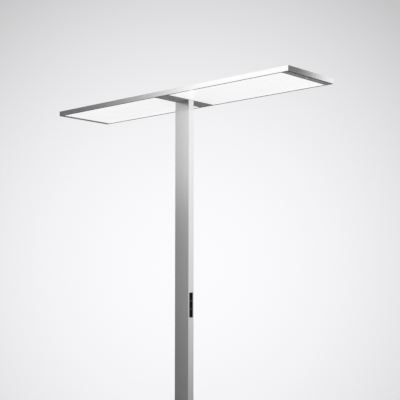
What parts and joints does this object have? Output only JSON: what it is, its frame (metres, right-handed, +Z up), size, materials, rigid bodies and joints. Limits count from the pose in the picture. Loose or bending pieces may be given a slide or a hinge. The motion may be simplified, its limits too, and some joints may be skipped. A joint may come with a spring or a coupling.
{
  "type": "office floor lamp",
  "caption": "Free-standing office lamp: a long flat head with light panels under and over it on one rectangular mast, with a keypad in the mast and a flat base.",
  "frame": {"origin": "middle of the lamp's footprint, on the floor", "axes": "+Z up; +X along the head to its sensor end, the side with the keypad; -Y is the front"},
  "size_m": [1.25, 0.32, 1.95],
  "materials": {
    "satin_aluminium": "fine satin anodised, brushed along the length",
    "raw_aluminium": "plain milled",
    "strip_grey": "satin grey metallic coating",
    "base_coat": "fine-textured silver powder coat",
    "glide_rubber": "matt black",
    "zinc_steel": "zinc plated",
    "black_plastic": "fine satin black",
    "button_black": "fine satin black",
    "plunger_plastic": "plain white",
    "pin_brass": "nickel-free plain brass",
    "circuit_board": "green solder mask",
    "light_board": "white solder mask",
    "terminal_plastic": "pale grey",
    "cable_sheath": "matt black sheath",
    "opal_acrylic": "opal white, silk matt",
    "clear_acrylic": "clear",
    "reflector_white": "bright white sheet"
  },
  "bodies": {
    "lamp": {"mast_profile": "satin_aluminium", "front_rail": "satin_aluminium", "rear_rail": "satin_aluminium", "end_rail_left": "satin_aluminium", "end_rail_right": "satin_aluminium", "top_cover_left": "satin_aluminium", "top_cover_right": "satin_aluminium", "top_cover_centre": "satin_aluminium", "foot_block": "raw_aluminium", "mast_head_block": "raw_aluminium", "back_plate_left": "raw_aluminium", "back_plate_right": "raw_aluminium", "centre_bridge": "strip_grey", "end_strip_left": "strip_grey", "sensor_strip": "strip_grey", "base_plate": "base_coat", "base_glides": "glide_rubber", "foot_screws": "zinc_steel", "wall_screws": "zinc_steel", "head_screws": "zinc_steel", "inlet_screws": "zinc_steel", "driver_case": "zinc_steel", "driver_lid": "zinc_steel", "driver_screws": "zinc_steel", "keypad_screws": "zinc_steel", "corner_keys": "zinc_steel", "key_screws": "zinc_steel", "shelf_screws": "zinc_steel", "cover_screws": "zinc_steel", "inlet_body": "black_plastic", "keypad_bezel": "black_plastic", "key_switches": "black_plastic", "inlet_pins": "pin_brass", "driver_board": "circuit_board", "keypad_board": "circuit_board", "sensor_board": "circuit_board", "edge_leds": "light_board", "uplight_boards": "light_board", "driver_terminals": "terminal_plastic", "terminal_block": "terminal_plastic", "mains_wires": "cable_sheath", "mast_cable": "cable_sheath", "control_wire": "cable_sheath", "head_leads": "cable_sheath", "sensor_lead": "cable_sheath", "diffuser_left": "opal_acrylic", "diffuser_right": "opal_acrylic", "sensor_lens": "opal_acrylic", "light_guide_left": "clear_acrylic", "light_guide_right": "clear_acrylic", "uplight_cover_left": "clear_acrylic", "uplight_cover_right": "clear_acrylic", "reflectors": "reflector_white"},
    "up_key": {"button_up": "button_black", "plunger_up": "plunger_plastic"},
    "power_key": {"button_power": "button_black", "plunger_power": "plunger_plastic"},
    "down_key": {"button_down": "button_black", "plunger_down": "plunger_plastic"}
  },
  "joints": [
    {"name": "up_key_press", "type": "slide", "parent": "lamp", "child": "up_key", "axis": [-1, 0, 0], "range_m": [0, 0.0006], "stiffness_N_per_m": 800, "springref_m": -0.001},
    {"name": "power_key_press", "type": "slide", "parent": "lamp", "child": "power_key", "axis": [-1, 0, 0], "range_m": [0, 0.0006], "stiffness_N_per_m": 800, "springref_m": -0.001},
    {"name": "down_key_press", "type": "slide", "parent": "lamp", "child": "down_key", "axis": [-1, 0, 0], "range_m": [0, 0.0006], "stiffness_N_per_m": 800, "springref_m": -0.001}
  ]
}
